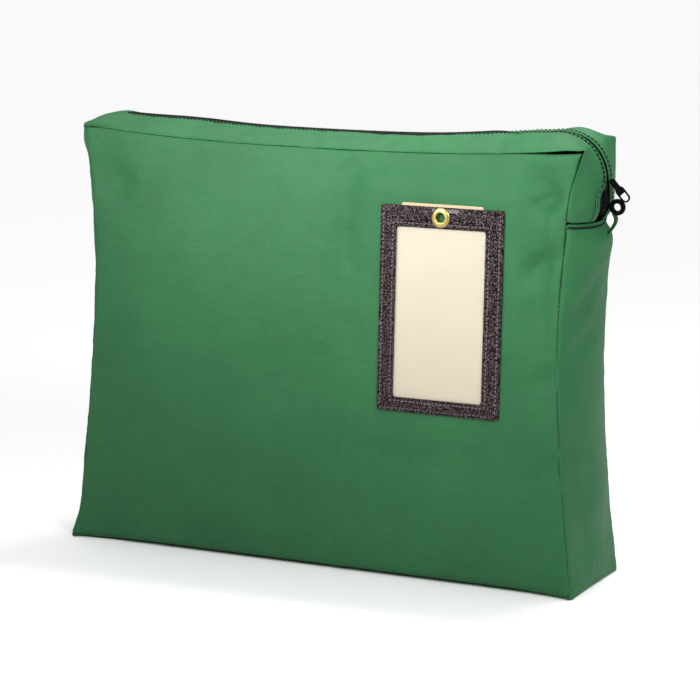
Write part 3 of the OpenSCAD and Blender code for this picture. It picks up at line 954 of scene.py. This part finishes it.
# ---------------------------------------------------------------- lock hardware
def pull():
    """A flat cast pull: narrow at its pivot, wide at its tip, with a round-ended window."""
    thick = middle_and_size("pull_tab")[1][1]
    drop = math.radians(48)
    length, tip, neck, rim, eye_r, edge = 20.0, 3.8, 2.4, 1.3, 1.06, 0.28
    neck_end, tip_start, window_start = 6.0, 8.5, 12.4
    half = np.linspace(math.pi / 2, -math.pi / 2, 20)

    def arc(x, r, angles):
        return [(x + r * math.cos(a), r * math.sin(a)) for a in angles]

    outer = arc(0, neck, half + math.pi) + [(neck_end, neck), (tip_start, tip)]
    outer += arc(length - tip, tip, half) + [(tip_start, -tip), (neck_end, -neck)]
    window = arc(length - tip, tip - rim, half[::-1]) + [(window_start, tip - rim), (window_start, rim - tip)]
    eye = arc(0, eye_r, np.linspace(0, 2 * math.pi, 24, endpoint=False))
    curve = bpy.data.curves.new("pull_outline", "CURVE")
    curve.dimensions = "2D"
    curve.fill_mode = "BOTH"
    for ring in (outer, window, eye):
        spline = curve.splines.new("POLY")
        spline.points.add(len(ring) - 1)
        for k, (x, y) in enumerate(ring):
            spline.points[k].co = (x, y, 0, 1)
        spline.use_cyclic_u = True
    curve.extrude = thick / 2 - edge
    curve.bevel_depth = edge
    curve.bevel_resolution = 2
    curve.offset = -edge
    outline = bpy.data.objects.new("pull_outline", curve)
    bpy.context.scene.collection.objects.link(outline)
    mesh = bpy.data.meshes.new_from_object(outline.evaluated_get(bpy.context.evaluated_depsgraph_get()))
    bpy.data.objects.remove(outline)
    co = np.array([v.co for v in mesh.vertices], float).reshape(-1, 3)
    c, s = math.cos(drop), math.sin(drop)
    x = co[:, 0] * c + co[:, 1] * s
    z = -co[:, 0] * s + co[:, 1] * c
    pts = np.stack([pivot_x + x, co[:, 2], pivot_z + z], axis=1)
    obj = make("pull_plate", pts, [list(f.vertices) for f in mesh.polygons])
    obj.data.set_sharp_from_angle(angle=math.radians(40))
    return obj


def bridge():
    """The arch across the slider: a round bar on two legs."""
    half, bend, bow = 1.6, 1.4, 0.9
    start = pivot_x - bend
    line = [(zip_out - 1.6, -half), (start, -half)]
    line += [(start + bend * math.sin(a), bow * (1 - math.cos(a)) - half)
        for a in np.linspace(0.3, math.pi / 2, 5)]
    line += [(x, -y) for x, y in line[::-1]]
    pts = dense(line, 0.5)
    return rod("slider_arch", np.stack([pts[:, 0], pts[:, 1], np.full(len(pts), pivot_z)], axis=1), 0.85, 12)


def lock_ring():
    """The cast ring beside the pull: flat faces, rounded edges."""
    centre, size = middle_and_size("lock_ring")
    thick, outer, hole = size[1] / 2, size[0] / 2, 3.0
    half = [(hole, 0.6 * thick), (hole + 0.7, thick), (outer - 1.2, thick), (outer, 0.5 * thick)]
    profile = bent([(r, -h) for r, h in half] + half[::-1], 4)
    profile = [(min(max(r, hole), outer), min(max(h, -thick), thick)) for r, h in profile]
    return lathe("lock_ring_metal", profile, centre, (0, -1, 0))


def strap():
    """A narrow doubled strap: sewn to the gusset below, bowed out, and looped through the ring."""
    half_wide, lean, bow = 2.6, 7, 3.4
    head, y_mid, _ = middle_and_size("ring_strap")[0]
    top = in_mm(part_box("lock_ring")[0])[2] + 1.8
    base = in_mm(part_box("ring_strap")[0])[2] - 1.5
    foot = float(on_gusset(place_of_z(base), y_mid + lean)[0][0]) + 1.0
    t = np.linspace(0, 1, 26)[:, None]
    across = np.linspace(-1, 1, 7)[None, :]
    x = foot + (head - foot) * smooth(t) + bow * np.sin(np.pi * t) ** 0.9 - 0.3 * across ** 2
    y = y_mid + lean * (1 - t) + half_wide * across
    z = base + (top - base) * t + 0 * across
    return shell("strap_tape", np.stack([x, y, z], axis=2), np.array([1.0, 0, 0]), strap_t)


def stop(name, node, width, upright):
    """A crimped end stop: a rounded block over the coil's end, upright or lying along the top."""
    centre, size = middle_and_size(node)
    up = (1, 0, 0) if upright else (0, 0, 1)
    wide, tall = (size[2], size[0]) if upright else (size[0], size[2])
    return beads(name, [centre], [(0, 1, 0)], [up], width, wide, tall, 12, 8)


# ---------------------------------------------------------------- finishes
# Socket numbers of a Mix node that blends colours: its factor, its two colours and its result.
SHARE, FIRST, SECOND, BLEND = 0, 6, 7, 2


def linear(hex_colour):
    """sRGB hex to linear light."""
    values = [int(hex_colour[i:i + 2], 16) / 255 for i in (1, 3, 5)]
    return [v / 12.92 if v <= 0.04045 else ((v + 0.055) / 1.055) ** 2.4 for v in values] + [1.0]


def add(tree, kind, inputs, out=0, **settings):
    """Adds a node and returns its output out; an input takes a value or another node's output."""
    node = tree.nodes.new(kind)
    for key, value in settings.items():
        setattr(node, key, value)
    for key, value in inputs.items():
        if isinstance(value, bpy.types.NodeSocket):
            tree.links.new(value, node.inputs[key])
        else:
            node.inputs[key].default_value = value
    return node.outputs[out]


def blank(name):
    """A new material, its empty tree, and the places on the object that its patterns are drawn at."""
    mat = bpy.data.materials.new(name)
    mat.use_nodes = True
    tree = mat.node_tree
    tree.nodes.clear()
    return mat, tree, add(tree, "ShaderNodeTexCoord", {}, out="Object")


def surfaced(mat, tree, inputs):
    """Gives a material its main shader and its output."""
    shader = add(tree, "ShaderNodeBsdfPrincipled", inputs)
    output = tree.nodes.new("ShaderNodeOutputMaterial")
    tree.links.new(shader, output.inputs["Surface"])
    return mat


def per_metre(mm):
    """Noise scale for features this many millimetres across."""
    return 1000 / mm


def coated_nylon(name):
    """Urethane-coated nylon packcloth: dull, streaked along its threads, a faint weave under the coat."""
    mat, tree, where = blank(name)
    cloud = add(tree, "ShaderNodeTexNoise", {"Vector": where, "Scale": per_metre(70), "Detail": 4.0,
        "Roughness": 0.55})
    mottle = add(tree, "ShaderNodeTexNoise", {"Vector": where, "Scale": per_metre(5), "Detail": 5.0,
        "Roughness": 0.7})
    # The threads are 0.4 mm apart on the real cloth; they are drawn 1.1 mm apart so that they show.
    threads = 0.0
    for drawn_out in ((1 / 36, 1 / 36, 1), (1, 1, 1 / 36)):
        along = add(tree, "ShaderNodeMapping", {"Vector": where, "Scale": drawn_out})
        streaks = add(tree, "ShaderNodeTexNoise", {"Vector": along, "Scale": per_metre(1.1), "Detail": 2.0,
            "Roughness": 0.6})
        threads = add(tree, "ShaderNodeMath", {0: streaks, 1: threads}, operation="ADD")
    tone = 0.0
    for pattern, share in ((cloud, 0.45), (mottle, 0.15), (threads, 0.2)):
        tone = add(tree, "ShaderNodeMath", {0: pattern, 1: share, 2: tone}, operation="MULTIPLY_ADD")
    colour = add(tree, "ShaderNodeMix", {SHARE: tone, FIRST: linear("#184729"), SECOND: linear("#327747")},
        out=BLEND, data_type="RGBA")
    weave = add(tree, "ShaderNodeBump", {"Height": threads, "Strength": 0.5, "Distance": 0.0003})
    fine = add(tree, "ShaderNodeBump", {"Height": mottle, "Normal": weave, "Strength": 0.3,
        "Distance": 0.0012})
    soft = add(tree, "ShaderNodeTexNoise", {"Vector": where, "Scale": per_metre(40), "Detail": 3.0,
        "Roughness": 0.5})
    wrinkle = add(tree, "ShaderNodeBump", {"Height": soft, "Normal": fine, "Strength": 0.5,
        "Distance": 0.006})
    dull = add(tree, "ShaderNodeMapRange", {"Value": mottle, "To Min": 0.5, "To Max": 0.7})
    return surfaced(mat, tree, {"Base Color": colour, "Normal": wrinkle, "Roughness": dull,
        "Specular IOR Level": 0.27})


def woven_tape(name, dark, light):
    """Narrow woven tape or strap: ribs across it, dull."""
    mat, tree, where = blank(name)
    ribs = add(tree, "ShaderNodeTexWave", {"Vector": where, "Scale": per_metre(1.4) / 20, "Distortion": 1.0},
        out="Fac", wave_type="BANDS", bands_direction="DIAGONAL")
    grain = add(tree, "ShaderNodeTexNoise", {"Vector": where, "Scale": per_metre(1.0), "Detail": 3.0})
    colour = add(tree, "ShaderNodeMix", {SHARE: grain, FIRST: linear(dark), SECOND: linear(light)},
        out=BLEND, data_type="RGBA")
    bump = add(tree, "ShaderNodeBump", {"Height": ribs, "Strength": 0.4, "Distance": 0.0003})
    return surfaced(mat, tree, {"Base Color": colour, "Normal": bump, "Roughness": 0.8,
        "Specular IOR Level": 0.2})


def drawn_nylon(name):
    """Drawn nylon monofilament for the coil: satin black."""
    mat, tree, where = blank(name)
    grain = add(tree, "ShaderNodeTexNoise", {"Vector": where, "Scale": per_metre(2.0), "Detail": 2.0})
    colour = add(tree, "ShaderNodeMix", {SHARE: grain, FIRST: linear("#020203"), SECOND: linear("#0d0c0f")},
        out=BLEND, data_type="RGBA")
    return surfaced(mat, tree, {"Base Color": colour, "Roughness": 0.4, "Specular IOR Level": 0.12})


def sewing_thread(name, dark, light):
    """Bonded nylon thread: two plies twisted, faint gloss."""
    mat, tree, where = blank(name)
    twist = add(tree, "ShaderNodeTexNoise", {"Vector": where, "Scale": per_metre(0.9), "Detail": 2.0})
    colour = add(tree, "ShaderNodeMix", {SHARE: twist, FIRST: linear(dark), SECOND: linear(light)},
        out=BLEND, data_type="RGBA")
    bump = add(tree, "ShaderNodeBump", {"Height": twist, "Strength": 0.5, "Distance": 0.0002})
    return surfaced(mat, tree, {"Base Color": colour, "Normal": bump, "Roughness": 0.6,
        "Specular IOR Level": 0.25})


def black_enamel(name):
    """Black enamel on cast zinc: semi gloss, rubbed a little grey."""
    mat, tree, where = blank(name)
    rub = add(tree, "ShaderNodeTexNoise", {"Vector": where, "Scale": per_metre(2.5), "Detail": 5.0,
        "Roughness": 0.7})
    worn = add(tree, "ShaderNodeMapRange", {"Value": rub, "From Min": 0.55, "From Max": 0.75})
    colour = add(tree, "ShaderNodeMix", {SHARE: worn, FIRST: linear("#020203"), SECOND: linear("#121114")},
        out=BLEND, data_type="RGBA")
    gloss = add(tree, "ShaderNodeMapRange", {"Value": rub, "To Min": 0.22, "To Max": 0.5})
    return surfaced(mat, tree, {"Base Color": colour, "Roughness": gloss, "Specular IOR Level": 0.05})


def grained_vinyl(name):
    """Calendered vinyl with an embossed leather grain: nearly black, with worn lighter specks."""
    mat, tree, where = blank(name)
    warp = add(tree, "ShaderNodeTexNoise", {"Vector": where, "Scale": per_metre(4.0), "Detail": 2.0})
    # The grain is 0.6 mm on the real vinyl; it is drawn 1.1 to 1.5 mm so that it shows.
    cells = add(tree, "ShaderNodeTexVoronoi", {"Vector": where, "Scale": per_metre(1.5)}, out="Distance",
        feature="DISTANCE_TO_EDGE")
    specks = add(tree, "ShaderNodeTexNoise", {"Vector": where, "Scale": per_metre(1.1), "Detail": 2.0,
        "Roughness": 0.6})
    worn = add(tree, "ShaderNodeMapRange", {"Value": specks, "From Min": 0.49, "From Max": 0.62})
    colour = add(tree, "ShaderNodeMix", {SHARE: worn, FIRST: linear("#050404"), SECOND: linear("#645658")},
        out=BLEND, data_type="RGBA")
    grain = add(tree, "ShaderNodeBump", {"Height": cells, "Strength": 0.6, "Distance": 0.0004})
    waves = add(tree, "ShaderNodeBump", {"Height": warp, "Normal": grain, "Strength": 0.3,
        "Distance": 0.0008})
    return surfaced(mat, tree, {"Base Color": colour, "Normal": waves, "Roughness": 0.75,
        "Specular IOR Level": 0.1})


def clear_vinyl(name):
    """Clear plasticised vinyl: glossy and slightly rippled."""
    mat, tree, where = blank(name)
    ripple = add(tree, "ShaderNodeTexNoise", {"Vector": where, "Scale": per_metre(28), "Detail": 2.0})
    bump = add(tree, "ShaderNodeBump", {"Height": ripple, "Strength": 0.2, "Distance": 0.002})
    return surfaced(mat, tree, {"Base Color": linear("#f3f6f0"), "Normal": bump, "Roughness": 0.2,
        "Alpha": 0.14, "Specular IOR Level": 0.6})


def pressed_brass(name):
    """Pressed brass, a little tarnished: warm and satin, duller where it is dark."""
    mat, tree, where = blank(name)
    tarnish = add(tree, "ShaderNodeTexNoise", {"Vector": where, "Scale": per_metre(3.0), "Detail": 5.0,
        "Roughness": 0.65})
    colour = add(tree, "ShaderNodeMix", {SHARE: tarnish, FIRST: linear("#8f7430"), SECOND: linear("#e2cd84")},
        out=BLEND, data_type="RGBA")
    gloss = add(tree, "ShaderNodeMapRange", {"Value": tarnish, "To Min": 0.45, "To Max": 0.22})
    return surfaced(mat, tree, {"Base Color": colour, "Roughness": gloss, "Metallic": 1.0})


def tag_card(name):
    """Manila tag stock: pulp fibres and faint uneven tone, matt."""
    mat, tree, where = blank(name)
    tone = add(tree, "ShaderNodeTexNoise", {"Vector": where, "Scale": per_metre(40), "Detail": 3.0})
    fibre = add(tree, "ShaderNodeTexNoise", {"Vector": where, "Scale": per_metre(1.4), "Detail": 5.0,
        "Roughness": 0.8})
    pulp = 0.0
    for pattern, share in ((tone, 0.8), (fibre, 0.2)):
        pulp = add(tree, "ShaderNodeMath", {0: pattern, 1: share, 2: pulp}, operation="MULTIPLY_ADD")
    colour = add(tree, "ShaderNodeMix", {SHARE: pulp, FIRST: linear("#b1a182"), SECOND: linear("#bfaf8f")},
        out=BLEND, data_type="RGBA")
    bump = add(tree, "ShaderNodeBump", {"Height": tone, "Strength": 0.1, "Distance": 0.0004})
    return surfaced(mat, tree, {"Base Color": colour, "Normal": bump, "Roughness": 0.75})


nylon = coated_nylon("coated_nylon_green")
binding_tape = woven_tape("nylon_binding_tape", "#1d4429", "#2a5a38")
# The strap is drawn a darker green than the bag's cloth: painted shade for the shadow the strap hangs in
# beside the gusset.
strap_tape = woven_tape("nylon_strap_green_painted_shade", "#12351e", "#235433")
zipper_tape = woven_tape("polyester_zip_tape_black", "#040404", "#0c0c0d")
coil_nylon = drawn_nylon("drawn_nylon_coil_black")
black_thread = sewing_thread("bonded_thread_black", "#030303", "#0c0c0d")
seam_thread = sewing_thread("bonded_thread_dark_green", "#06140b", "#10281a")
# The frame's thread is black; it is drawn grey so that the rows read as light dashes with dark gaps: painted
# highlight standing for the light caught by the vinyl bulging between the stitches.
painted_highlight_thread = sewing_thread("bonded_thread_grey_painted_highlight", "#3a3437", "#85797e")
enamel = black_enamel("black_enamel_zinc")
vinyl = grained_vinyl("grained_vinyl_black")
clear = clear_vinyl("clear_vinyl_window")
brass = pressed_brass("pressed_brass")
manila = tag_card("manila_tag_card")


def dress(obj, mat):
    """Gives a new piece its finish."""
    obj.data.materials.clear()
    obj.data.materials.append(mat)


def fit(obj, mat, slot, body, *nodes):
    """Gives a new piece its finish, its body and the CAD nodes that it stands for."""
    dress(obj, mat)
    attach(obj, body)
    if nodes:
        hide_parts(*nodes)
    return obj


# ---------------------------------------------------------------- assembly
front_made, front_surface = panel("front_panel_cloth", front_grid, 3.2, front_folds, 3,
    lambda x, z: 1.5 * holder_far(x, z))
back_made, back_surface = panel("back_panel_cloth", back_grid, 4.2, back_folds, 7, lambda x, z: 1.0)
panel_f = fit(front_made, nylon, "panel_cloth", "root", "front_panel")
panel_b = fit(back_made, nylon, "panel_cloth", "root", "back_panel")
gusset = fit(lower_gusset(), nylon, "gusset_cloth", "root", "lower_gusset")

for side, word in ((-1, "front"), (1, "back")):
    fit(binding(f"{word}_binding_tape", side), binding_tape, "seam_binding", "root", f"{word}_seam_binding")
    strip = fit(zip_strip(f"{word}_corner_cloth", s_cross + 0.07, s_right, side, True), nylon,
        "gusset_cloth", "root", f"{word}_corner_strip")
    fit(zip_tape(f"{word}_corner_zip_tape", s_cross + 0.3, s_right, side), zipper_tape, "zip_tape", "root",
        f"{word}_corner_tape")
    fit(zip_coil(f"{word}_corner_teeth", s_cross + 2.2, s_right, side, 0.5), coil_nylon, "zip_coil", "root",
        f"{word}_corner_coil")
    fit(topstitch(f"{word}_corner_topstitch", s_cross + 2.0, s_right, side), black_thread, "thread", "root",
        f"{word}_corner_stitching")
    lip = f"{word}_lip"
    for end, s0, x0 in (("right", s_right, lip_right * MM), ("left", s_left, lip_left * MM)):
        cloth = zip_strip(f"{lip}_{end}", s0, s_mid, side, False)
        parts = [
            (cloth, nylon, "gusset_cloth", lip),
            (zip_tape(f"{lip}_tape_{end}", s0, s_mid, side), zipper_tape, "zip_tape", f"{lip}_tape"),
            (zip_coil(f"{lip}_teeth_{end}", s0, s_mid, side, 0.15), coil_nylon, "zip_coil", f"{lip}_coil"),
            (topstitch(f"{lip}_topstitch_{end}", s0, s_mid, side), black_thread, "thread",
                f"{lip}_stitching")]
        for obj, mat, slot, node in parts:
            dress(obj, mat)
            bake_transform(obj)
            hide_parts(node)

fit(seam_stitches("front_seam_stitches", front_surface), seam_thread, "thread", "root")
fit(seam_stitches("back_seam_stitches", back_surface), seam_thread, "thread", "root")
below_seam = 3.2 / 6
fit(cross_stitches("cross_seam_stitches", s_cross - below_seam), black_thread, "thread", "root")

fit(vinyl_frame(), vinyl, "frame_vinyl", "root", "label_frame")
# The frame's stitches get the grey thread: painted highlight for the light on the vinyl between the black
# stitches.
fit(frame_stitches(), painted_highlight_thread, "frame_thread", "root", "frame_stitching")
fit(brass_grommet(), brass, "brass", "root", "grommet")
fit(lock_ring(), enamel, "zip_metal", "root", "lock_ring")
fit(strap(), strap_tape, "strap_webbing", "root", "ring_strap")
fit(bridge(), enamel, "zip_metal", "slider", "slider_bridge")
fit(pull(), enamel, "zip_metal", "pull", "pull_tab")
fit(stop("bottom_stop_metal", "bottom_stop", 6.4, True), enamel, "zip_metal", "root", "bottom_stop")
fit(stop("top_stop_metal", "top_stop", 4.4, False), enamel, "zip_metal", "root", "top_stop")

for node, mat in (("slider_body", enamel), ("window_pane", clear), ("grommet_washer", brass),
        ("address_card", manila)):
    for slot in frame["nodes"][node].material_slots:
        slot.material = mat

# ---------------------------------------------------------------- studio
bpy.ops.mesh.primitive_plane_add(size=120, location=(0, 0, 0))
floor = bpy.context.object
floor.name = "studio_floor"
paper, paper_tree, _ = blank("studio_paper")
floor.data.materials.append(surfaced(paper, paper_tree, {"Base Color": linear("#fdfdfd"), "Roughness": 0.9}))

# The sky is dim low down and bright overhead.
world = bpy.data.worlds.new("studio")
bpy.context.scene.world = world
world.use_nodes = True
sky = world.node_tree
place = add(sky, "ShaderNodeTexCoord", {}, out="Generated")
height = add(sky, "ShaderNodeSeparateXYZ", {0: place}, out=2)
glow = add(sky, "ShaderNodeMapRange", {"Value": height, "From Min": 0.45, "From Max": 1.0,
    "To Min": 0.09, "To Max": 2.1})
sky.nodes["Background"].inputs["Color"].default_value = linear("#ffffff")
sky.links.new(glow, sky.nodes["Background"].inputs["Strength"])


def softbox(name, place, aim, size, power, spread):
    """A rectangular light at a place, aimed at a point, in metres, watts and degrees."""
    light = bpy.data.lights.new(name, "AREA")
    light.shape = "RECTANGLE"
    light.size, light.size_y = size
    light.energy = power
    light.spread = math.radians(spread)
    obj = bpy.data.objects.new(name, light)
    obj.location = place
    obj.rotation_euler = (Vector(aim) - Vector(place)).to_track_quat("-Z", "Y").to_euler()
    bpy.context.scene.collection.objects.link(obj)


softbox("key_light", (-0.5, -1.25, 0.75), (-0.01, -0.04, 0.45), (0.5, 0.22), 1.1, 31)
softbox("side_light", (0.9, -0.75, 0.85), (0.17, 0, 0.29), (0.3, 0.3), 0.5, 36)
softbox("top_light", (0.1, 0.35, 1.3), (0.05, 0.0, 0.36), (0.6, 0.2), 0.55, 40)

camera = bpy.data.cameras.new("camera")
camera.sensor_width = 36
camera.lens = 141.4
eye = bpy.data.objects.new("camera", camera)
bpy.context.scene.collection.objects.link(eye)
azimuth, elevation, distance = math.radians(26.1), math.radians(10.7), 2.29
aim = Vector((0.009, 0, 0.1746))
level = math.cos(elevation)
back = Vector((math.sin(azimuth) * level, -math.cos(azimuth) * level, math.sin(elevation)))
eye.location = aim + back * distance
eye.rotation_euler = (-back).to_track_quat("-Z", "Y").to_euler()
bpy.context.scene.camera = eye
bpy.context.scene.view_settings.view_transform = "Standard"
